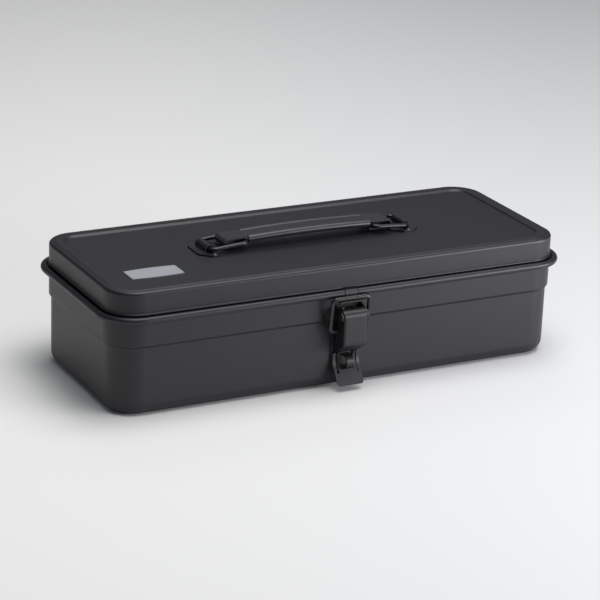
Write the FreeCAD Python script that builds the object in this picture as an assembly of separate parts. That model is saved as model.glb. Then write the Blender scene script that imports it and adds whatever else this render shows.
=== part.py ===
import FreeCAD, Part
import math
import os

# Small steel tool box of the trunk kind: a drawn tub, a drawn lid, a lift-up handle and a pull-down latch.
# Millimetres. The origin is the middle of the tub's flat underside, +X runs along the box, -Y is the front.

V = FreeCAD.Vector

# Tub and lid outline
sheet = 0.6                # steel sheet of the tub and the lid
outline_length = 322.2     # outside of the tub's upper band and of the lid's skirt
outline_depth = 125.6
corner_radius = 19.9       # outside corner of that outline
step_drop = 19.8           # from the flange down to the joggle in the tub's wall
step_in = 1.5              # how far the lower wall stands in from the upper band
floor_radius = 8.0         # outside bend between wall and floor
wall_bend = 1.0            # bend radius of small joggles, at mid sheet

# Flange and rolled bead round the tub's rim
flange_height = 66.4       # upper face of the turned-out flange
bead_reach = 5.4           # the bead's outermost line, out from the upper band
bead_radius = 2.4
bead_rise = 1.5            # bead's top over the flange
bead_open = 40.0           # degrees of the curl left open beside the flange
bead_closed = 183.0        # the curl starts here, on the flange's end

# Lid
skirt_gap = 0.9            # the dark line between the skirt's edge and the flange
skirt_height = 16.1        # from the skirt's edge to the top of the border's ridge
lid_edge_radius = 2.2      # outside fillet between skirt and border
border_width = 9.2         # from the skirt's outside to the start of the sink
ridge_from = 2.8           # the border steps up to a low ridge from here
ridge_run = 1.6
ridge_rise = 0.5
ridge_foot_bend = 1.2
ridge_bend = 1.5
sink_run = 1.4             # length of the slope down to the panel
sink_depth = 1.3           # from the ridge down to the panel
hem_height = 5.6           # inner layer folded up inside the skirt
hem_roll = 0.9             # radius of the rolled edge at the hem's foot
hem_roll_out = 0.6         # how far it stands out of the skirt
hem_round = 0.57           # bend at the hem's edge
hem_burr = 0.2             # rounding of the hem's cut edge

# Label plate, bare
label_length = 35.3
label_depth = 17.0
label_bulge = 1.1          # how far each long edge bows out
label_thick = 0.4
label_from_end = 40.3      # plate's middle from the skirt's left end
label_from_front = 34.0

# Handle
tongue_rest_gap = 0.3      # tongue's underside over the bracket's plate
grip_arch_radius = 1000.0  # arch of the rolled edges' centre line
roll_radius = 2.4
roll_spacing = 13.0        # between the two rolled edges' centre lines
roll_end = 44.5            # half length of the rolled edges
roll_from = 140.0          # each edge curls from here, in degrees, over the top and outward
roll_to = -150.0           # down and in under, to here
grip_sheet = 0.9
web_drop = 0.5             # web's top below the rolled edges' top
tongue_half = 61.7         # half length over the folds of the tongues
tongue_width = 15.2
return_end = 44.6          # the layer folded back under the bar ends here
fold_flat = 0.05           # straight left between the two bends of a fold
ring_wire = 2.8            # wire diameter of the rings
ring_pivot_x = 72.3        # outer bar, held in the bracket
ring_inner_x = 46.5        # inner bar, held in the grip's tongue
ring_width = 21.2          # between the two arms' centre lines
ring_bend = 3.6
ring_pivot_rise = 2.9      # outer bar's centre above the lid's panel
slot_clear_under = 0.65    # air under the inner bar, for its changing slant as the grip lifts
slot_clear_over = 0.9      # air over it
bracket_sheet = 1.0
bracket_inner = 60.0       # plate's ends, from the middle of the box
bracket_outer = 80.5
bracket_depth = 31.0
bracket_cut = 6.5          # cut corners of the plate
bracket_round = 2.8        # radius at the plate's corners
strap_width = 15.0
strap_clear = 0.35         # air over the outer bar
strap_bend = 2.2           # bends at the top of the raised strap
strap_slope = 0.5          # how far its foot spreads
strap_root = 0.4           # the plate's opening starts this far up the strap's foot
strap_slit = 0.6           # slit beside the raised strap
bracket_rivet_x = 71.2
bracket_rivet_y = 13.3

# Latch. Its heights hang from the flange: the pin below it, and the rest of the latch below the pin.
latch_sheet = 1.0
pin_out = 8.4              # the pin that the lever turns on, out from the upper wall
pin_drop = 14.7
pin_radius = 1.25
pin_end_radius = 1.9
pin_end_thick = 0.6
pin_end_round = 0.35
loop_pivot_out = 4.8       # the loop's pivot in the lever
loop_pivot_drop = 10.7
loop_bar_out = 7.4         # the loop's upper bar
loop_bar_drop = 2.9        # below the flange
loop_wire = 2.8
loop_half = 13.2           # arm centre lines, from the loop's middle
loop_shift = -1.2          # the loop has this much side play and lies to the left
loop_bend = 3.0
loop_pivot_end = 5.4       # where the loop's turned-in ends stop
lever_width = 16.8         # over the lever's two sides
lever_edge_radius = 1.5    # outside edge between the lever's front and sides
lever_curl = 4.0           # from the pin to the lever's mid sheet
curl_back = 2.0            # the curl's top runs back to here, behind the pin
curl_lip = 1.3             # and ends in a lip this long
curl_lip_drop = 1.8
curl_lip_bend = 1.4
knee_drop = 18.2           # front plate ends here
knee_bend = 2.0
back_drop = 27.4           # lower plate starts here, close to the base
back_bend = 2.5
flare_drop = 34.2          # flare starts here
tip_drop = 47.4
tip_out = 9.4
lever_back_gap = 0.4       # lower plate to the base plate
lever_flare = 12.0         # bend radius where the finger tab starts to stand out
tab_width = 19.2           # lower plate and finger tab
tab_shoulder = 1.2         # corner radius at the tab's upper end
tip_corner = 3.2
neck_half = 6.5            # the neck between the two slits that free it from the side straps
neck_drop = 23.3
neck_round = 1.4
slit_width = 0.9
slit_drop = 40.3           # slits end here, above the finger tab
slit_relief = 0.95         # radius of the round hole at each slit's end
window_half = 5.2
window_low_drop = 38.2
window_high_drop = 26.1
window_corner = 1.2
side_foot_drop = 21.2      # the lever's sides reach back to the straps below this height
side_top_over = 0.4        # the sides reach this far behind the curl
side_top_round = 3.0
side_foot_round = 2.0
side_knee_round = 1.8
side_low_round = 1.0
flange_boss = 2.6          # lever's side round the loop's pivot
base_half = 9.6            # half width over the ears
base_plate_half = 10.4
base_low_drop = 42.4
base_high_rise = 5.7       # above the pin
base_corner = 6.5
ear_low_drop = 4.2
ear_boss = 3.3
ear_round = 2.8
ear_bend = 2.0
base_step_clear = 0.6      # the plate's joggle sits this much lower than the tub's
base_rivet_low_drop = 15.2
base_rivet_low_x = 5.2
base_rivet_high_rise = 1.7
base_rivet_high_x = 4.2
staple_drop = 33.1
staple_width = 5.0
staple_thick = 1.2
staple_eye = 6.8           # clear height of the eye
staple_reach = 9.3         # front of the staple out from the lower wall

# Lid keeper
keeper_sheet = 1.0
keeper_width = 9.0         # its neck, where it passes the bead
hook_width = 19.0          # its hook under the loop's bar
hook_bead_gap = 0.5
keeper_run_rise = 1.0      # its way out under the skirt, at mid sheet, above the flange
keeper_top_rise = 12.1     # above the flange
keeper_bend = 0.9
keeper_bead_bend = 1.6     # bend over the bead
keeper_bar_gap = 0.5       # hook to the loop's bar
keeper_under_gap = 0.4     # the bar dips this way as the lever turns
keeper_lip = 0.9           # hook's end beyond the bar's centre
notch_side = 0.4           # side clearance of the notches that the keeper passes

# Rear hinges, their heights from the flange
hinge_from_end = 61.1      # middle of each hinge from the skirt's end
hinge_width = 32.0
hinge_axis_out = 8.5       # out from the upper wall
hinge_axis_rise = 2.0
hinge_sheet = 1.0
hinge_bend = 1.0
hinge_pin_radius = 1.5
hinge_pin_head = 2.2
hinge_head_thick = 0.8
knuckle_radius = 2.6
knuckle_mid = 10.6         # width of the middle knuckle
knuckle_gap = 0.3
leaf_swing = 0.6           # the upper leaf is cut back this far from the outer knuckles
leg_gap_low = 1.2          # the gap for the middle knuckle starts this far above the leaf's run
lower_leaf_drop = 16.8
upper_leaf_rise = 13.0
leaf_bead_gap = 0.6
hinge_rivet_x = 10.0
lower_rivet_drop = 11.4
upper_rivet_rise = 8.8

# Rivets and fits
rivet_shank = 1.2
rivet_head = 2.1
rivet_head_high = 0.8
rivet_tail = 1.7
rivet_tail_high = 0.5
rivet_clear = 0.05
turn_clear = 0.05          # running fit of every pin and pivot
weld_slot_clear = 0.05
beyond = 4.0               # how far a cutting body runs past what it cuts
tiny = 1e-6                # shorter runs and smaller turns count as none

# Worked out from the values above
half_x = outline_length / 2
half_y = outline_depth / 2
half_sheet = sheet / 2
step_height = flange_height - step_drop
bead_top = flange_height + bead_rise
skirt_bottom = flange_height + skirt_gap
lid_top = skirt_bottom + skirt_height
panel_top = lid_top - sink_depth
bead_w = bead_reach - bead_radius
bead_z = bead_top - bead_radius
ring_r = ring_wire / 2
loop_r = loop_wire / 2
lower_wall_y = -(half_y - step_in)
upper_wall_y = -half_y
pin_y = upper_wall_y - pin_out
pin_z = flange_height - pin_drop
loop_pivot_y = upper_wall_y - loop_pivot_out
loop_pivot_z = pin_z - loop_pivot_drop
loop_bar_y = upper_wall_y - loop_bar_out
loop_bar_z = flange_height - loop_bar_drop
lever_knee_z = pin_z - knee_drop
lever_back_z = pin_z - back_drop
lever_flare_z = pin_z - flare_drop
lever_tip_z = pin_z - tip_drop
lever_tip_y = upper_wall_y - tip_out
base_low = pin_z - base_low_drop
base_high = pin_z + base_high_rise
staple_z = pin_z - staple_drop
hinge_x = half_x - hinge_from_end
hinge_axis_y = half_y + hinge_axis_out
hinge_axis_z = flange_height + hinge_axis_rise


def xz(a, b):
    return V(a, 0, b)


def yz(a, b):
    return V(0, a, b)


def xy(a, b):
    return V(a, b, 0)


def unit(dx, dy):
    size = math.hypot(dx, dy)
    return dx / size, dy / size


def headings(points):
    return [unit(q[0] - p[0], q[1] - p[1]) for p, q in zip(points, points[1:])]


def offset_points(points, distance):
    """Moves an open bent line sideways, to its left where distance is positive."""
    ways = headings(points)
    moved = []
    for index, point in enumerate(points):
        before = ways[max(index - 1, 0)]
        after = ways[min(index, len(ways) - 1)]
        normal = unit(-before[1] - after[1], before[0] + after[0])
        stretch = distance / (-normal[0] * after[1] + normal[1] * after[0])
        moved.append((point[0] + normal[0] * stretch, point[1] + normal[1] * stretch))
    return moved


def rounded_edges(points, radii, plane):
    """Edges of an open bent line whose inner corners are rounded with the given radii."""
    edges = []
    here = points[0]
    for index in range(1, len(points) - 1):
        point = points[index]
        radius = radii[index - 1]
        (ax, ay), (bx, by) = headings(points[index - 1:index + 2])
        turn = math.atan2(ax * by - ay * bx, ax * bx + ay * by)
        if abs(turn) < tiny or radius < tiny:
            edges.append(Part.LineSegment(plane(*here), plane(*point)).toShape())
            here = point
            continue
        reach = radius * math.tan(abs(turn) / 2)
        side = math.copysign(1, turn)
        start = (point[0] - ax * reach, point[1] - ay * reach)
        end = (point[0] + bx * reach, point[1] + by * reach)
        centre = (start[0] - ay * side * radius, start[1] + ax * side * radius)
        out = unit(point[0] - centre[0], point[1] - centre[1])
        middle = (centre[0] + out[0] * radius, centre[1] + out[1] * radius)
        if math.dist(here, start) > tiny:
            edges.append(Part.LineSegment(plane(*here), plane(*start)).toShape())
        edges.append(Part.Arc(plane(*start), plane(*middle), plane(*end)).toShape())
        here = end
    if math.dist(here, points[-1]) > tiny:
        edges.append(Part.LineSegment(plane(*here), plane(*points[-1])).toShape())
    return edges


def strip_face(points, bends, thickness, plane):
    """Section of a bent sheet: points are its mid line, bends its mid-line radii."""
    half = thickness / 2
    ways = headings(points)
    turns = [a[0] * b[1] - a[1] * b[0] for a, b in zip(ways, ways[1:])]
    left_radii = [bend - math.copysign(half, turn) for bend, turn in zip(bends, turns)]
    right_radii = [bend + math.copysign(half, turn) for bend, turn in zip(bends, turns)]
    left = offset_points(points, half)
    right = offset_points(points, -half)
    edges = rounded_edges(left, left_radii, plane) + rounded_edges(right, right_radii, plane)
    edges.append(Part.LineSegment(plane(*left[0]), plane(*right[0])).toShape())
    edges.append(Part.LineSegment(plane(*left[-1]), plane(*right[-1])).toShape())
    return Part.Face(Part.Wire(Part.__sortEdges__(edges)))


def polygon_face(points, radii, plane):
    """Closed outline with each corner rounded by its own radius."""
    first = points[0]
    last = points[-1]
    start = ((first[0] + last[0]) / 2, (first[1] + last[1]) / 2)
    loop = [start] + list(points) + [start]
    edges = rounded_edges(loop, radii, plane)
    return Part.Face(Part.Wire(Part.__sortEdges__(edges)))


def curl_face(place, outer, thickness, start, end):
    """Section of a curled edge, an open ring: place turns a radius and an angle into a point."""
    inner = outer - thickness
    middle = (start + end) / 2

    def arc(radius, first, last):
        return Part.Arc(place(radius, first), place(radius, middle), place(radius, last)).toShape()

    edges = [
        arc(outer, start, end),
        Part.LineSegment(place(outer, end), place(inner, end)).toShape(),
        arc(inner, end, start),
        Part.LineSegment(place(inner, start), place(outer, start)).toShape(),
    ]
    return Part.Face(Part.Wire(edges))


def centred_extrude(face, axis, width):
    solid = face.extrude(axis * width)
    solid.translate(axis * (-width / 2))
    return solid


def box(x0, x1, y0, y1, z0, z1):
    return Part.makeBox(x1 - x0, y1 - y0, z1 - z0, V(x0, y0, z0))


def drill(radius, start, way, length):
    return Part.makeCylinder(radius, length, start, way)


def mirror_x(shape):
    return shape.mirror(V(0, 0, 0), V(1, 0, 0))


def one_solid(shape):
    """A boolean's result as a clean single solid, or the group as it is where it has several."""
    shape = shape.removeSplitter()
    if len(shape.Solids) == 1:
        return shape.Solids[0]
    return shape


def rod(points, bend, radius, closed=False):
    """Round wire along straight runs joined by bends of one radius."""
    count = len(points)
    corners = range(count) if closed else range(1, count - 1)
    reach = [0.0] * count
    parts = []
    for i in corners:
        before = (points[i] - points[i - 1]).normalize()
        after = (points[(i + 1) % count] - points[i]).normalize()
        turn = before.getAngle(after)
        reach[i] = bend * math.tan(turn / 2)
        start = points[i] - before * reach[i]
        axis = before.cross(after).normalize()
        centre = start + axis.cross(before).normalize() * bend
        disc = Part.Face(Part.Wire(Part.makeCircle(radius, start, before)))
        parts.append(disc.revolve(centre, axis, math.degrees(turn)))
    for i in range(count if closed else count - 1):
        j = (i + 1) % count
        way = (points[j] - points[i]).normalize()
        start = points[i] + way * reach[i]
        end = points[j] - way * reach[j]
        parts.append(Part.makeCylinder(radius, (end - start).Length, start, way))
    return one_solid(parts[0].fuse(parts[1:]))


def wall_ring(section):
    """Carries a wall section round the outline: four straight runs and four turned corners."""
    parts = []
    for side in range(4):
        out, along = (half_x, half_y) if side % 2 == 0 else (half_y, half_x)
        straight = along - corner_radius
        profile = section.copy()
        profile.translate(V(out, -straight, 0))
        run = profile.extrude(V(0, 2 * straight, 0))
        profile.translate(V(0, 2 * straight, 0))
        corner = profile.revolve(V(out - corner_radius, straight, 0), V(0, 0, 1), 90)
        for piece in (run, corner):
            piece.rotate(V(0, 0, 0), V(0, 0, 1), 90 * side)
            parts.append(piece)
    return parts


def rounded_plate(inset, z0, thickness):
    """Flat plate that fills the outline, moved in by inset."""
    hx, hy, r = half_x - inset, half_y - inset, corner_radius - inset
    corners = [(hx, -hy), (hx, hy), (-hx, hy), (-hx, -hy)]
    plate = polygon_face(corners, [r] * 4, xy).extrude(V(0, 0, thickness))
    plate.translate(V(0, 0, z0))
    return plate


def rivet(at, out, grip):
    """Round-head rivet: head on the outside at the given point, shank through grip, flat tail behind."""
    dome = (rivet_head ** 2 + rivet_head_high ** 2) / (2 * rivet_head_high)
    half_angle = math.asin(rivet_head / dome) / 2
    middle = xz(dome * math.sin(half_angle), rivet_head_high - dome + dome * math.cos(half_angle))
    arc = Part.Arc(xz(rivet_head, 0), middle, xz(0, rivet_head_high)).toShape()
    axis_line = Part.LineSegment(xz(0, rivet_head_high), xz(0, 0)).toShape()
    seat = Part.LineSegment(xz(0, 0), xz(rivet_head, 0)).toShape()
    head = Part.Face(Part.Wire([arc, axis_line, seat])).revolve(V(0, 0, 0), V(0, 0, 1), 360)
    shank = Part.makeCylinder(rivet_shank, grip, V(0, 0, -grip))
    tail = Part.makeCylinder(rivet_tail, rivet_tail_high, V(0, 0, -grip - rivet_tail_high))
    solid = one_solid(head.fuse([shank, tail]))
    solid.Placement = FreeCAD.Placement(at, FreeCAD.Rotation(V(0, 0, 1), out))
    return solid


def rivet_hole(at, out, grip):
    return drill(rivet_shank + rivet_clear, at + out * beyond, out * -1, grip + 2 * beyond)


def cut_all(shape, tools):
    return one_solid(shape.cut(tools)) if tools else shape


nodes = {}

# Places of the rivets: point on the outer face, outward direction and thickness held
front = V(0, -1, 0)
back = V(0, 1, 0)
up = V(0, 0, 1)
base_grip = latch_sheet + sheet
base_rivets = []
for side in (-1, 1):
    low_at = V(side * base_rivet_low_x, lower_wall_y - latch_sheet, pin_z - base_rivet_low_drop)
    high_at = V(side * base_rivet_high_x, upper_wall_y - latch_sheet, pin_z + base_rivet_high_rise)
    base_rivets += [(low_at, front, base_grip), (high_at, front, base_grip)]
bracket_grip = bracket_sheet + sheet
bracket_rivets = []
for side in (-1, 1):
    for edge in (-1, 1):
        rivet_at = V(side * bracket_rivet_x, edge * bracket_rivet_y, panel_top + bracket_sheet)
        bracket_rivets.append((rivet_at, up, bracket_grip))
hinge_grip = hinge_sheet + sheet
lower_rivet_z = flange_height - lower_rivet_drop
upper_rivet_z = flange_height + upper_rivet_rise
lower_leaf_rivets = []
upper_leaf_rivets = []
for side in (-1, 1):
    for edge in (-1, 1):
        leaf_x = side * hinge_x + edge * hinge_rivet_x
        lower_leaf_rivets.append((V(leaf_x, half_y + hinge_sheet, lower_rivet_z), back, hinge_grip))
        upper_leaf_rivets.append((V(leaf_x, half_y + hinge_sheet, upper_rivet_z), back, hinge_grip))


def holes(places):
    return [rivet_hole(*place) for place in places]


def rivets(places):
    return Part.makeCompound([rivet(*place) for place in places])


# Tub: one drawn sheet, with the flange turned out and curled into a bead
floor_inset = step_in + floor_radius + sheet
tub_line = [
    (-floor_inset, half_sheet),
    (-step_in - half_sheet, half_sheet),
    (-step_in - half_sheet, step_height - step_in / 2),
    (-half_sheet, step_height + step_in / 2),
    (-half_sheet, flange_height - half_sheet),
    (bead_w - bead_radius + half_sheet, flange_height - half_sheet),
]
tub_bends = [floor_radius - half_sheet, wall_bend, wall_bend, wall_bend]
tub_section = strip_face(tub_line, tub_bends, sheet, xz)


def on_bead(radius, degrees):
    angle = math.radians(degrees)
    return xz(bead_w + radius * math.cos(angle), bead_z + radius * math.sin(angle))


bead_section = curl_face(on_bead, bead_radius, sheet, bead_open - 180, bead_closed)
tub_parts = wall_ring(tub_section) + wall_ring(bead_section)
tub = tub_parts[0].fuse(tub_parts[1:] + [rounded_plate(floor_inset, 0, sheet)])
keeper_half = keeper_width / 2
rim_notch_half = keeper_half + notch_side
rim_notch = box(-rim_notch_half, rim_notch_half, -half_y - bead_reach - beyond,
                -half_y - wall_bend, bead_z - bead_radius - beyond, bead_top + beyond)
tub_cuts = [rim_notch] + holes(base_rivets) + holes(lower_leaf_rivets)
nodes["body_tub"] = cut_all(one_solid(tub), tub_cuts)

# Lid: drawn sheet, sunk panel inside a border with a low ridge, skirt hemmed inward on a rolled edge
border_end = border_width + sink_run
panel_start = border_end + 2 * sheet
lid_line = [
    (-half_sheet, skirt_bottom + sheet),
    (-half_sheet, lid_top - ridge_rise - half_sheet),
    (-ridge_from, lid_top - ridge_rise - half_sheet),
    (-ridge_from - ridge_run, lid_top - half_sheet),
    (-border_width, lid_top - half_sheet),
    (-border_end, panel_top - half_sheet),
    (-panel_start, panel_top - half_sheet),
]
lid_bends = [lid_edge_radius - half_sheet, ridge_foot_bend, ridge_bend, wall_bend, wall_bend]
lid_section = strip_face(lid_line, lid_bends, sheet, xz)
hem_points = [(0, skirt_bottom), (0, skirt_bottom + hem_height),
              (-2 * sheet, skirt_bottom + hem_height), (-2 * sheet, skirt_bottom)]
hem_section = polygon_face(hem_points, [hem_round, 0, hem_burr, hem_round], xz)
hem_circle = Part.makeCircle(hem_roll, xz(hem_roll_out - hem_roll, skirt_bottom + hem_roll), V(0, 1, 0))
lid_parts = wall_ring(lid_section) + wall_ring(hem_section) + wall_ring(Part.Face(Part.Wire(hem_circle)))
lid = lid_parts[0].fuse(lid_parts[1:] + [rounded_plate(panel_start, panel_top - sheet, sheet)])
skirt_notch_half = keeper_half + notch_side / 2
keeper_run_z = flange_height + keeper_run_rise
skirt_notch = box(-skirt_notch_half, skirt_notch_half, -half_y - beyond, -half_y + 2 * sheet,
                  skirt_bottom - beyond, keeper_run_z + keeper_bend + notch_side / 2)
lid_cuts = [skirt_notch] + holes(bracket_rivets) + holes(upper_leaf_rivets)
nodes["lid_shell"] = cut_all(one_solid(lid), lid_cuts)

# Label plate: bare sheet with straight ends and bowed long edges
lx = label_length / 2
ly = label_depth / 2
end_y = ly - label_bulge
label_edges = [
    Part.LineSegment(xy(lx, -end_y), xy(lx, end_y)).toShape(),
    Part.Arc(xy(lx, end_y), xy(0, ly), xy(-lx, end_y)).toShape(),
    Part.LineSegment(xy(-lx, end_y), xy(-lx, -end_y)).toShape(),
    Part.Arc(xy(-lx, -end_y), xy(0, -ly), xy(lx, -end_y)).toShape(),
]
label = Part.Face(Part.Wire(label_edges)).extrude(V(0, 0, label_thick))
label.translate(V(-half_x + label_from_end, -half_y + label_from_front, panel_top))
nodes["label_plate"] = label

# Handle brackets: riveted plate whose middle is raised as a strap over the ring's outer bar
pivot_z = panel_top + ring_pivot_rise
plate_mid = panel_top + bracket_sheet / 2
strap_mid = pivot_z + ring_r + strap_clear + bracket_sheet / 2
bracket_hy = bracket_depth / 2
strap_half = ring_r + strap_clear + bracket_sheet / 2
strap_in = ring_pivot_x - strap_half
strap_out = ring_pivot_x + strap_half
foot_in = strap_in - strap_slope
foot_out = strap_out + strap_slope
cut_in = bracket_inner + bracket_cut
cut_out = bracket_outer - bracket_cut
cut_hy = bracket_hy - bracket_cut
plate_points = [(cut_in, -bracket_hy), (cut_out, -bracket_hy),
                (bracket_outer, -cut_hy), (bracket_outer, cut_hy),
                (cut_out, bracket_hy), (cut_in, bracket_hy),
                (bracket_inner, cut_hy), (bracket_inner, -cut_hy)]
plate = polygon_face(plate_points, [bracket_round] * 8, xy).extrude(V(0, 0, bracket_sheet))
plate.translate(V(0, 0, panel_top))
strap_hole = box(foot_in + strap_root, foot_out - strap_root,
                 -strap_width / 2 - strap_slit, strap_width / 2 + strap_slit,
                 panel_top - beyond, panel_top + bracket_sheet + beyond)
strap_line = [(foot_in - bracket_sheet, plate_mid), (foot_in, plate_mid), (strap_in, strap_mid),
              (strap_out, strap_mid), (foot_out, plate_mid), (foot_out + bracket_sheet, plate_mid)]
strap_bends = [bracket_sheet, strap_bend, strap_bend, bracket_sheet]
strap = centred_extrude(strip_face(strap_line, strap_bends, bracket_sheet, xz), V(0, 1, 0), strap_width)
bracket = one_solid(plate.cut(strap_hole).fuse(strap))
bracket_holes = holes(bracket_rivets)
nodes["handle_bracket_right"] = cut_all(bracket, bracket_holes)
nodes["handle_bracket_left"] = cut_all(mirror_x(bracket), bracket_holes)
nodes["handle_bracket_rivets"] = rivets(bracket_rivets)

# Grip: arched strip, its long edges rolled under, with a tongue at each end folded back under itself.
# Its height is worked up from the bracket's plate, on which the tongue's fold comes down.
slope = roll_end / math.sqrt(grip_arch_radius ** 2 - roll_end ** 2)
arch_fall = grip_arch_radius - math.sqrt(grip_arch_radius ** 2 - roll_end ** 2)
slot_height = slot_clear_under + ring_wire + slot_clear_over
fold_drop = grip_sheet + slot_height
fold_x = tongue_half - grip_sheet / 2
fold_floor = panel_top + bracket_sheet + tongue_rest_gap + grip_sheet / 2
web_mid_at_start = fold_floor + fold_drop + slope * (fold_x - roll_end)
web_top = web_mid_at_start + grip_sheet / 2 + arch_fall
grip_top = web_top + web_drop
roll_top_mid = grip_top - roll_radius
arch_centre_z = roll_top_mid - grip_arch_radius


def web_mid(x):
    return web_mid_at_start - slope * (x - roll_end)


inner_bar_z = web_mid(ring_inner_x) - grip_sheet / 2 - slot_clear_over - ring_r
tongue_line = [
    (roll_end - grip_sheet, web_mid(roll_end - grip_sheet)),
    (fold_x, web_mid(fold_x)),
    (fold_x, web_mid(fold_x) - fold_drop),
    (return_end, web_mid(return_end) - fold_drop),
]
fold_bend = (fold_drop - fold_flat) / 2
tongue = centred_extrude(strip_face(tongue_line, [fold_bend] * 2, grip_sheet, xz), V(0, 1, 0), tongue_width)


def arch_sweep(face, half_length):
    """Turns a section at mid length about the arch's centre, to both sides."""
    angle = math.degrees(math.asin(half_length / grip_arch_radius))
    section = face.copy()
    section.rotate(V(0, 0, arch_centre_z), V(0, 1, 0), -angle)
    return section.revolve(V(0, 0, arch_centre_z), V(0, 1, 0), 2 * angle)


def roll_face(side):
    """One rolled edge in section, from the web up and over, outward, down and in under."""
    def on_roll(radius, degrees):
        angle = math.radians(degrees)
        return yz(side * (roll_spacing / 2 + radius * math.cos(angle)),
                  roll_top_mid + radius * math.sin(angle))

    return curl_face(on_roll, roll_radius, grip_sheet, roll_to, roll_from)


roll_mid_radius = roll_radius - grip_sheet / 2
web_level = web_top - grip_sheet / 2 - roll_top_mid
web_half = roll_spacing / 2 - math.sqrt(roll_mid_radius ** 2 - web_level ** 2)
web_points = [(-web_half, web_top - grip_sheet), (web_half, web_top - grip_sheet),
              (web_half, web_top), (-web_half, web_top)]
web = arch_sweep(polygon_face(web_points, [0] * 4, yz), roll_end)
grip_parts = [arch_sweep(roll_face(side), roll_end) for side in (-1, 1)]
nodes["handle_grip"] = one_solid(web.fuse(grip_parts + [tongue, mirror_x(tongue)]))

# Rings: closed wire rectangles, outer bar under the bracket's strap, inner bar in the tongue
ring_corners = [V(ring_pivot_x, -ring_width / 2, pivot_z), V(ring_pivot_x, ring_width / 2, pivot_z),
                V(ring_inner_x, ring_width / 2, inner_bar_z), V(ring_inner_x, -ring_width / 2, inner_bar_z)]
ring = rod(ring_corners, ring_bend, ring_r, closed=True)
nodes["handle_ring_right"] = ring
nodes["handle_ring_left"] = mirror_x(ring)

# Latch base: plate on the tub's front, following the step in the wall, with two ears for the lever pin
base_mid_low = lower_wall_y - latch_sheet / 2
base_mid_high = upper_wall_y - latch_sheet / 2
base_step_z = step_height - base_step_clear
base_line = [(base_mid_low, base_low), (base_mid_low, base_step_z - step_in / 2),
             (base_mid_high, base_step_z + step_in / 2), (base_mid_high, base_high)]
base_plate = centred_extrude(strip_face(base_line, [wall_bend] * 2, latch_sheet, yz),
                             V(1, 0, 0), 2 * base_plate_half)
foot_points = [(-base_plate_half, base_low), (base_plate_half, base_low),
               (base_plate_half, base_high), (-base_plate_half, base_high)]
base_trim = polygon_face(foot_points, [base_corner, base_corner, latch_sheet, latch_sheet], xz)
base_trim.translate(V(0, lower_wall_y, 0))
base_trim = base_trim.extrude(V(0, upper_wall_y - lower_wall_y - latch_sheet - beyond, 0))
base_plate = base_plate.common(base_trim)
ear_back = upper_wall_y - latch_sheet / 2
ear_points = [(ear_back, pin_z - ear_low_drop), (pin_y, pin_z - ear_boss),
              (pin_y - ear_boss, pin_z - ear_boss), (pin_y - ear_boss, pin_z + ear_boss),
              (pin_y, pin_z + ear_boss), (ear_back, base_high)]
ear_radii = [0, ear_bend, ear_round, ear_round, ear_bend, 0]
ear_thick = latch_sheet
ears = []
for side in (-1, 1):
    ear = polygon_face(ear_points, ear_radii, yz).extrude(V(ear_thick, 0, 0))
    ear.translate(V(base_half - ear_thick if side > 0 else -base_half, 0, 0))
    ears.append(ear)
staple_leg = staple_eye / 2 + staple_thick / 2
staple_slots = []
for edge in (-1, 1):
    slot_z = staple_z + edge * staple_leg
    slot_x = staple_width / 2 + weld_slot_clear
    slot_h = staple_thick / 2 + weld_slot_clear
    staple_slots.append(box(-slot_x, slot_x, lower_wall_y - latch_sheet - beyond,
                            lower_wall_y + beyond, slot_z - slot_h, slot_z + slot_h))
bore_from = -base_half - beyond
pin_bore = drill(pin_radius, V(bore_from, pin_y, pin_z), V(1, 0, 0), -2 * bore_from)
base = base_plate.fuse(ears)
nodes["latch_base"] = cut_all(base, staple_slots + [pin_bore] + holes(base_rivets))
nodes["latch_base_rivets"] = rivets(base_rivets)

# Padlock staple: strip bent to a loop, its ends set in slots of the base plate
staple_front = lower_wall_y - staple_reach + staple_thick / 2
staple_line = [(lower_wall_y, staple_z + staple_leg), (staple_front, staple_z + staple_leg),
               (staple_front, staple_z - staple_leg), (lower_wall_y, staple_z - staple_leg)]
staple_bend = staple_leg - fold_flat / 2
staple_face = strip_face(staple_line, [staple_bend] * 2, staple_thick, yz)
nodes["padlock_staple"] = centred_extrude(staple_face, V(1, 0, 0), staple_width)

# Lever: one pressed sheet, curled at the top, with a side flange each side and a window for the staple
lever_front = pin_y - lever_curl
lever_back = lower_wall_y - latch_sheet - lever_back_gap - latch_sheet / 2
curl_top = pin_z + lever_curl
lever_line = [
    (pin_y + curl_back + curl_lip, curl_top - curl_lip_drop),
    (pin_y + curl_back, curl_top),
    (lever_front, curl_top),
    (lever_front, lever_knee_z),
    (lever_back, lever_back_z),
    (lever_back, lever_flare_z),
    (lever_tip_y, lever_tip_z),
]
lever_bends = [curl_lip_bend, lever_curl, knee_bend, back_bend, lever_flare]
neck_sheet = centred_extrude(strip_face(lever_line, lever_bends, latch_sheet, yz),
                             V(1, 0, 0), lever_width)
reach_out = lower_wall_y - lever_front + latch_sheet + beyond
neck_high = pin_z - neck_drop
neck_cuts = []
for side in (-1, 1):
    outside = side * (lever_width / 2 + beyond)
    neck_points = [(side * neck_half, lever_tip_z - beyond), (outside, lever_tip_z - beyond),
                   (outside, neck_high), (side * neck_half, neck_high)]
    neck_cut = polygon_face(neck_points, [0, 0, 0, neck_round], xz)
    neck_cut.translate(V(0, lower_wall_y, 0))
    neck_cuts.append(neck_cut.extrude(V(0, -reach_out, 0)))
neck_sheet = neck_sheet.cut(neck_cuts)

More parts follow.
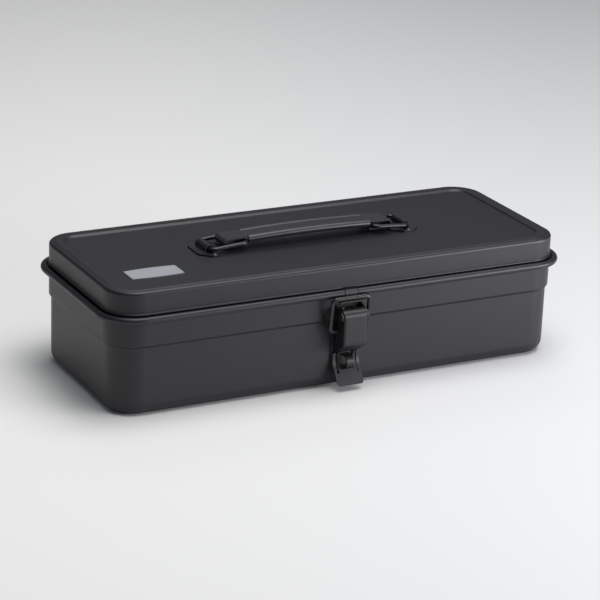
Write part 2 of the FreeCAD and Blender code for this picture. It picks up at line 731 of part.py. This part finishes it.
tab_line = [(lever_back, lever_back_z), (lever_back, lever_flare_z), (lever_tip_y, lever_tip_z)]
tab_sheet = centred_extrude(strip_face(tab_line, [lever_flare], latch_sheet, yz),
                            V(1, 0, 0), tab_width)
tab_half = tab_width / 2
trim_points = [(-tab_half, lever_tip_z - latch_sheet / 2), (tab_half, lever_tip_z - latch_sheet / 2),
               (tab_half, lever_back_z), (-tab_half, lever_back_z)]
tip_trim = polygon_face(trim_points, [tip_corner, tip_corner, tab_shoulder, tab_shoulder], xz)
tip_trim.translate(V(0, lower_wall_y, 0))
slit_low = pin_z - slit_drop
strap_in_half = neck_half + slit_width
strap_points = [(-strap_in_half, slit_low), (strap_in_half, slit_low),
                (strap_in_half, lever_back_z + beyond), (-strap_in_half, lever_back_z + beyond)]
strap_gap = polygon_face(strap_points, [slit_width / 2, slit_width / 2, 0, 0], xz)
strap_gap.translate(V(0, lower_wall_y, 0))
tab_sheet = tab_sheet.common(tip_trim.extrude(V(0, -reach_out, 0)))
tab_sheet = tab_sheet.cut(strap_gap.extrude(V(0, -reach_out, 0)))

side_back = lever_back + latch_sheet / 2
side_foot = pin_z - side_foot_drop
side_points = [
    (lever_front - latch_sheet / 2, curl_top + latch_sheet / 2),
    (pin_y + lever_curl + side_top_over, curl_top + latch_sheet / 2),
    (loop_pivot_y + flange_boss, loop_pivot_z - flange_boss),
    (side_back, side_foot), (side_back, lever_flare_z + latch_sheet),
    (side_back - latch_sheet, lever_flare_z + latch_sheet),
    (side_back - latch_sheet, lever_back_z), (lever_front - latch_sheet / 2, lever_knee_z),
]
side_radii = [lever_curl + latch_sheet / 2, side_top_round, flange_boss, side_foot_round, 0, 0,
              side_low_round, side_knee_round]
lever_sides = []
side_inner = lever_width / 2 - latch_sheet
for side in (-1, 1):
    plate_side = polygon_face(side_points, side_radii, yz)
    plate_side = plate_side.extrude(V(latch_sheet, 0, 0))
    plate_side.translate(V(side_inner if side > 0 else -lever_width / 2, 0, 0))
    lever_sides.append(plate_side)
window_low = pin_z - window_low_drop
window_high = pin_z - window_high_drop
window_points = [(-window_half, window_low), (window_half, window_low),
                 (window_half, window_high), (-window_half, window_high)]
window = polygon_face(window_points, [window_corner] * 4, xz)
window.translate(V(0, lower_wall_y, 0))
window = window.extrude(V(0, pin_y - lower_wall_y + latch_sheet, 0))
lever_bore = drill(pin_radius + turn_clear, V(bore_from, pin_y, pin_z), V(1, 0, 0), -2 * bore_from)
loop_bore = drill(loop_r + turn_clear, V(bore_from, loop_pivot_y, loop_pivot_z), V(1, 0, 0),
                  -2 * bore_from)
skin_y = lever_front - latch_sheet / 2
skin_x = lever_width / 2
skin_points = [(-skin_x, skin_y), (skin_x, skin_y), (skin_x, lower_wall_y), (-skin_x, lower_wall_y)]
skin = polygon_face(skin_points, [lever_edge_radius, lever_edge_radius, 0, 0], xy)
skin.translate(V(0, 0, lever_tip_z - beyond))
skin = skin.extrude(V(0, 0, curl_top - lever_tip_z + 2 * beyond))
lever = neck_sheet.fuse(lever_sides).common(skin)
lever = one_solid(lever.fuse(tab_sheet))
slit_x = neck_half + slit_width / 2
slit_holes = [drill(slit_relief, V(side * slit_x, lower_wall_y, slit_low + slit_relief), front, reach_out)
              for side in (-1, 1)]
nodes["latch_lever"] = cut_all(lever, [window, lever_bore, loop_bore] + slit_holes)

# Lever pin: through both ears, its ends peened over
pin_shank = drill(pin_radius, V(-base_half, pin_y, pin_z), V(1, 0, 0), 2 * base_half)
pin_ends = [drill(pin_end_radius, V(side * base_half, pin_y, pin_z), V(side, 0, 0), pin_end_thick)
            for side in (-1, 1)]
pin_ends = [end.makeFillet(pin_end_round, [edge for edge in end.Edges
                                           if abs(edge.CenterOfMass.x) > base_half + pin_end_thick / 2
                                           and len(edge.Vertexes) == 1]) for end in pin_ends]
nodes["lever_pin"] = one_solid(pin_shank.fuse(pin_ends))

# Loop: bent wire, its turned-in ends pivot in the lever's sides, its upper bar pulls on the keeper
loop_points = []
for side in (-1, 1):
    end = V(loop_shift + side * loop_pivot_end, loop_pivot_y, loop_pivot_z)
    elbow = V(loop_shift + side * loop_half, loop_pivot_y, loop_pivot_z)
    corner = V(loop_shift + side * loop_half, loop_bar_y, loop_bar_z)
    loop_points += [end, elbow, corner] if side < 0 else [corner, elbow, end]
nodes["latch_loop"] = rod(loop_points, loop_bend, loop_r)

# Keeper: strip welded to the hem inside the lid, out under the skirt and down behind the loop's bar
keeper_mid_in = -half_y + 2 * sheet + keeper_sheet / 2
keeper_mid_out = loop_bar_y + loop_r + keeper_bar_gap + keeper_sheet / 2
hook_mid = loop_bar_z - loop_r - keeper_under_gap - keeper_sheet / 2
keeper_line = [(keeper_mid_in, flange_height + keeper_top_rise), (keeper_mid_in, keeper_run_z),
               (keeper_mid_out, keeper_run_z), (keeper_mid_out, hook_mid),
               (loop_bar_y - keeper_lip, hook_mid)]
keeper_face = strip_face(keeper_line, [keeper_bend, keeper_bead_bend, keeper_bend], keeper_sheet, yz)
keeper_neck = centred_extrude(keeper_face, V(1, 0, 0), keeper_width)
hook_top = bead_z - bead_radius - hook_bead_gap
hook_face = strip_face([(keeper_mid_out, hook_top)] + keeper_line[3:], [keeper_bend], keeper_sheet, yz)
hook = centred_extrude(hook_face, V(1, 0, 0), hook_width)
nodes["lid_keeper"] = one_solid(keeper_neck.fuse(hook))

# Rear hinges: lower leaf on the tub, led under and behind the bead; upper leaf over the bead to the skirt
knuckle_mid_radius = knuckle_radius - hinge_sheet / 2
leaf_mid = half_y + hinge_sheet / 2
lower_run_z = bead_z - bead_radius - leaf_bead_gap - hinge_sheet / 2
leg_y = hinge_axis_y - knuckle_mid_radius
upper_run_z = hinge_axis_z + knuckle_mid_radius
lower_leaf_line = [(leaf_mid, flange_height - lower_leaf_drop), (leaf_mid, lower_run_z),
                   (leg_y, lower_run_z), (leg_y, hinge_axis_z)]
upper_leaf_line = [(hinge_axis_y, upper_run_z), (leaf_mid, upper_run_z),
                   (leaf_mid, flange_height + upper_leaf_rise)]
hinge_bore = drill(hinge_pin_radius + turn_clear, V(-hinge_width, hinge_axis_y, hinge_axis_z),
                   V(1, 0, 0), 2 * hinge_width)
above = hinge_axis_z + knuckle_radius + beyond
behind = hinge_axis_y + knuckle_radius + beyond
gap_half = knuckle_mid / 2 + knuckle_gap
leaf_clear = hinge_axis_y - knuckle_radius - leaf_swing


def knuckle(x0, x1):
    return drill(knuckle_radius, V(x0, hinge_axis_y, hinge_axis_z), V(1, 0, 0), x1 - x0)


lower_leaf = centred_extrude(strip_face(lower_leaf_line, [hinge_bend] * 2, hinge_sheet, yz),
                             V(1, 0, 0), hinge_width)
leg_gap = box(-gap_half, gap_half, leg_y - hinge_sheet, behind, lower_run_z + leg_gap_low, above)
lower_leaf = lower_leaf.cut(leg_gap).fuse([knuckle(-hinge_width / 2, -gap_half),
                                           knuckle(gap_half, hinge_width / 2)])
upper_leaf = centred_extrude(strip_face(upper_leaf_line, [hinge_bend], hinge_sheet, yz),
                             V(1, 0, 0), hinge_width)
side_gaps = [box(x0, x1, leaf_clear, behind, hinge_axis_z, above)
             for x0, x1 in ((-hinge_width, -knuckle_mid / 2), (knuckle_mid / 2, hinge_width))]
upper_leaf = upper_leaf.cut(side_gaps).fuse(knuckle(-knuckle_mid / 2, knuckle_mid / 2))
hinge_pin = drill(hinge_pin_radius, V(-hinge_width / 2, hinge_axis_y, hinge_axis_z),
                  V(1, 0, 0), hinge_width)
pin_heads = [drill(hinge_pin_head, V(side * hinge_width / 2, hinge_axis_y, hinge_axis_z),
                   V(side, 0, 0), hinge_head_thick) for side in (-1, 1)]
hinge_pin = one_solid(hinge_pin.fuse(pin_heads))
for name, side in (("left", -1), ("right", 1)):
    shift = V(side * hinge_x, 0, 0)
    for node, piece, places in (("hinge_lower_leaf_", lower_leaf, lower_leaf_rivets),
                                ("hinge_upper_leaf_", upper_leaf, upper_leaf_rivets)):
        leaf = piece.cut(hinge_bore)
        leaf.translate(shift)
        nodes[node + name] = cut_all(leaf, holes(places))
    pin = hinge_pin.copy()
    pin.translate(shift)
    nodes["hinge_pin_" + name] = pin
nodes["hinge_rivets_tub"] = rivets(lower_leaf_rivets)
nodes["hinge_rivets_lid"] = rivets(upper_leaf_rivets)

# Write each sub-part
os.makedirs("parts", exist_ok=True)
for name, shape in nodes.items():
    shape.exportStep("parts/" + name + ".step")
    box_of = shape.optimalBoundingBox(False)
    print("%-24s solids %d valid %s volume %9.1f  x %.2f..%.2f y %.2f..%.2f z %.2f..%.2f" % (
        name, len(shape.Solids), shape.isValid(), shape.Volume, box_of.XMin, box_of.XMax,
        box_of.YMin, box_of.YMax, box_of.ZMin, box_of.ZMax))
print("bars at rest: pivot %.3f %.3f, inner %.3f %.3f, grip top %.3f, slope %.4f" % (
    ring_pivot_x, pivot_z, ring_inner_x, inner_bar_z, grip_top, slope))
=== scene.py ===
import math

import bpy
from mathutils import Matrix, Quaternion, Vector

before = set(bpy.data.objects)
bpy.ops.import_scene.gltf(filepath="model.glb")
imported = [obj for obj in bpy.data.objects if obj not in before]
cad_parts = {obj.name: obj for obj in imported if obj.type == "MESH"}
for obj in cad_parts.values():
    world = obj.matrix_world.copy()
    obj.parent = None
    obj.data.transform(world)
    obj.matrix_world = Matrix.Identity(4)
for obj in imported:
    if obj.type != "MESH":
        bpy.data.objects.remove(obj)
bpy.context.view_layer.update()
scene = bpy.context.scene
scene.view_settings.view_transform = "Standard"


# Camera: the photographer's long lens, from the front left of the box and a little above it.
# It leans by two degrees, as a camera held or set by hand does.
lens_length = 148.58        # millimetres
sensor_width = 36           # millimetres
camera_round = -27.893      # degrees round the box, from straight in front
camera_tilt = 70.032        # degrees up, from looking straight down
camera_lean = 2.244         # degrees about its own line of sight
camera_place = (-0.723633, -1.364805, 0.599144)

camera_data = bpy.data.cameras.new("camera")
camera_data.lens = lens_length
camera_data.sensor_width = sensor_width
camera = bpy.data.objects.new("camera", camera_data)
scene.collection.objects.link(camera)
turn_round = Quaternion((0, 0, 1), math.radians(camera_round))
turn_up = Quaternion((1, 0, 0), math.radians(camera_tilt))
turn_over = Quaternion((0, 0, 1), math.radians(camera_lean))
camera_turn = turn_round @ turn_up @ turn_over
camera.matrix_world = Matrix.Translation(Vector(camera_place)) @ camera_turn.to_matrix().to_4x4()
scene.camera = camera


# Floor: a sheet of pale, dull card that the box stands on, wide enough to fill the picture.
# Its colour is darker to the right: painted shade against the pool of light from the low lamp there.
class Tone:
    """A value in a material's nodes that adds and multiplies like a number."""

    def __init__(self, finish, socket):
        self.finish = finish
        self.socket = socket

    def maths(self, operation, first, second):
        return self.finish.node("ShaderNodeMath", {"operation": operation}, first, second)

    def __add__(self, other):
        return self.maths("ADD", self, other)

    __radd__ = __add__

    def __mul__(self, other):
        return self.maths("MULTIPLY", self, other)

    __rmul__ = __mul__


class Finish:
    """A material whose nodes are made one by one, round one Principled shader."""

    def __init__(self, name):
        self.material = bpy.data.materials.new(name)
        self.material.use_nodes = True
        self.tree = self.material.node_tree
        self.shader = self.tree.nodes["Principled BSDF"]

    def node(self, kind, settings, *values, out=0, **named):
        made = self.tree.nodes.new(kind)
        for key, value in settings.items():
            setattr(made, key, value)
        for key, value in list(enumerate(values)) + list(named.items()):
            self.join(value, made.inputs[key])
        return Tone(self, made.outputs[out])

    def join(self, value, socket):
        if isinstance(value, Tone):
            self.tree.links.new(value.socket, socket)
        elif value is not None:
            socket.default_value = value

    def surface(self, value, socket_name):
        self.join(value, self.shader.inputs[socket_name])

    def place(self):
        return self.node("ShaderNodeTexCoord", {}, out="Object")

    def noise(self, where, scale, detail, roughness=0.5):
        return self.node("ShaderNodeTexNoise", {},
                         Vector=where, Scale=scale, Detail=detail, Roughness=roughness)

    def ramp(self, value, low, high):
        return self.node("ShaderNodeMapRange", {"interpolation_type": "SMOOTHSTEP"}, value, low, high)

    def blend(self, factor, first, second):
        left_alone = [None] * 5
        return self.node("ShaderNodeMix", {"data_type": "RGBA"},
                         factor, *left_alone, first, second, out=2)

    def bump(self, height, strength, distance):
        return self.node("ShaderNodeBump", {}, Height=height, Strength=strength, Distance=distance)

    def paint(self, *names):
        for name in names:
            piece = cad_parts[name]
            piece.data.materials.clear()
            piece.data.materials.append(self.material)


card_width = 14
card_left_colour = (0.84, 0.84, 0.83, 1)
# painted shade: the card's colour on the right, darker to temper the low lamp's pool of light
card_right_painted_shade_colour = (0.68, 0.69, 0.70, 1)
rightwards_x, rightwards_y = 0.884, -0.468
fade_from, fade_to = -0.32, 0.30    # metres rightwards of the box's middle

bpy.ops.object.select_all(action="DESELECT")
bpy.ops.mesh.primitive_plane_add(size=card_width, location=(0, 0, 0))
floor = bpy.context.object
floor.name = "floor"
card = Finish("pale_card")
card_x = card.node("ShaderNodeSeparateXYZ", {}, card.place())
card_y = card.node("ShaderNodeSeparateXYZ", {}, card.place(), out=1)
# painted shade: the card fades darker to the right, where the low lamp lights it most
card_painted_shade = card.ramp(card_x * rightwards_x + card_y * rightwards_y, fade_from, fade_to)
card.surface(card.blend(card_painted_shade, card_left_colour, card_right_painted_shade_colour), "Base Color")
card.surface(0.85, "Roughness")
card.surface(0.2, "Specular IOR Level")
floor.data.materials.append(card.material)


# Lamps: three soft boxes, and the faint cool light of a pale room round them.
# A broad one hangs overhead, a weak one stands behind, and a low one at the right of the front
# gives the front wall its slow fade towards the left.
def lamp(name, place, aim, width, height, watts, colour):
    data = bpy.data.lights.new(name, "AREA")
    data.shape = "RECTANGLE"
    data.size = width
    data.size_y = height
    data.energy = watts
    data.color = colour
    made = bpy.data.objects.new(name, data)
    scene.collection.objects.link(made)
    made.location = place
    made.rotation_euler = (Vector(aim) - Vector(place)).to_track_quat("-Z", "Y").to_euler()


room_colour = (0.86, 0.92, 1.0, 1)
room_strength = 0.17
warm_white = (1.0, 0.99, 0.98)
rose_white = (1.0, 0.98, 1.0)

room = bpy.data.worlds.new("studio")
room.use_nodes = True
room.node_tree.nodes["Background"].inputs["Color"].default_value = room_colour
room.node_tree.nodes["Background"].inputs["Strength"].default_value = room_strength
scene.world = room

lamp("overhead", place=(0.22, -0.16, 1.45), aim=(0.05, 0, 0),
     width=1.4, height=1.1, watts=21.5, colour=warm_white)
lamp("back", place=(0.45, 1.15, 1.30), aim=(0.05, 0, 0),
     width=1.0, height=0.5, watts=1.9, colour=warm_white)
lamp("right_front", place=(0.62, -0.62, 0.17), aim=(0.1, -0.05, 0),
     width=0.55, height=0.32, watts=6.8, colour=rose_white)


# Tub and lid: deep-drawn steel sheet, sprayed and baked in a satin black enamel.
# The enamel has a fine pebbled skin with a few paler flecks, and its gloss varies a little
# over broad patches.
patch_scale, pebble_scale, grain_scale, fleck_scale = 9.0, 420.0, 1500.0, 2600.0
thick_coat, thin_coat, fleck_tone = 0.86, 1.14, 2.6
fleck_from, fleck_full, fleck_share = 0.70, 0.78, 0.25
patch_dull, grain_dull = 0.06, 0.04
pebble_share, grain_share = 0.6, 0.4
skin_depth = 0.00006        # metres


def enamel(name, colour, dullness, skin):
    coat = Finish(name)
    where = coat.place()
    patches = coat.noise(where, patch_scale, detail=3.0)
    grain = coat.noise(where, grain_scale, detail=2.0)
    pebbles = coat.noise(where, pebble_scale, detail=3.0, roughness=0.6)
    flecks = coat.ramp(coat.noise(where, fleck_scale, detail=1.0), fleck_from, fleck_full)
    darker, lighter, palest = (
        tuple(tone * part for part in colour) + (1,) for tone in (thick_coat, thin_coat, fleck_tone))
    coat_colour = coat.blend(patches, darker, lighter)
    coat.surface(coat.blend(flecks * fleck_share, coat_colour, palest), "Base Color")
    even_dullness = dullness - (patch_dull + grain_dull) / 2
    coat.surface(even_dullness + patches * patch_dull + grain * grain_dull, "Roughness")
    height = grain * grain_share + pebbles * pebble_share
    coat.surface(coat.bump(height, skin, skin_depth), "Normal")
    return coat


black = (0.0062, 0.0058, 0.0096)
enamel("tub_black", black, dullness=0.43, skin=0.35).paint("body_tub")
enamel("lid_black", black, dullness=0.43, skin=0.35).paint("lid_shell")


# Label plate: a small bare plate of thin bright metal with bowed long edges, stuck to the lid.
# Its face is satin, finely brushed along its length.
plate_dark = (0.35, 0.365, 0.395, 1)
plate_bright = (0.47, 0.485, 0.52, 1)
along_brush, across_brush = 60, 2400
plate_dullness, brush_dull = 0.32, 0.16
brush_depth = 0.00002       # metres

plate = Finish("label_satin")
plate_where = plate.node("ShaderNodeMapping", {}, plate.place(),
                         Scale=(along_brush, across_brush, along_brush))
brushed = plate.noise(plate_where, scale=1.0, detail=3.0, roughness=0.6)
plate.surface(plate.blend(brushed, plate_dark, plate_bright), "Base Color")
plate.surface(plate_dullness + brushed * brush_dull, "Roughness")
plate.surface(0.35, "Metallic")
plate.surface(plate.bump(brushed, strength=0.25, distance=brush_depth), "Normal")
plate.paint("label_plate")


# Handle: pressed strip brackets, bent wire rings and a grip whose long edges are rolled under.
# The same black lies a little glossier on these small parts; the grip's black is made slightly grey,
# painted light for the brighter look of its lit top.
# painted light: a paler black so that the grip's top looks as bright as where light falls on it
grip_painted_light_black = (0.0190, 0.0185, 0.0230)
enamel("bracket_black", black, dullness=0.38, skin=0.25).paint(
    "handle_bracket_left", "handle_bracket_right")
enamel("grip_black", grip_painted_light_black, dullness=0.34, skin=0.20).paint("handle_grip")
enamel("ring_black", black, dullness=0.30, skin=0.12).paint("handle_ring_left", "handle_ring_right")


# Latch: pressed lever, base plate with its staple, bent wire loop, and the keeper from the lid.
# The black on them is smoother than the box's, and glossiest on the wire.
latch_black = (0.0072, 0.0068, 0.0090)
wire_black = (0.0110, 0.0105, 0.0118)
enamel("latch_black", latch_black, dullness=0.44, skin=0.15).paint(
    "latch_lever", "latch_base", "padlock_staple", "lid_keeper")
enamel("wire_black", wire_black, dullness=0.26, skin=0.10).paint("latch_loop")


# Rivets and pins: cold-headed steel, set before the box is sprayed, so they carry its black too.
# The coat pools round them and stays glossier.
enamel("rivet_black", black, dullness=0.32, skin=0.12).paint(
    "handle_bracket_rivets", "latch_base_rivets", "hinge_rivets_tub", "hinge_rivets_lid")
enamel("pin_black", black, dullness=0.30, skin=0.10).paint(
    "lever_pin", "hinge_pin_left", "hinge_pin_right")


# Rear hinges: a leaf on the tub led under and behind the rim's bead, and one on the lid's skirt.
# They are bent from steel strip, rolled round their pins and sprayed with the box.
enamel("hinge_black", black, dullness=0.38, skin=0.22).paint(
    "hinge_lower_leaf_left", "hinge_lower_leaf_right",
    "hinge_upper_leaf_left", "hinge_upper_leaf_right")
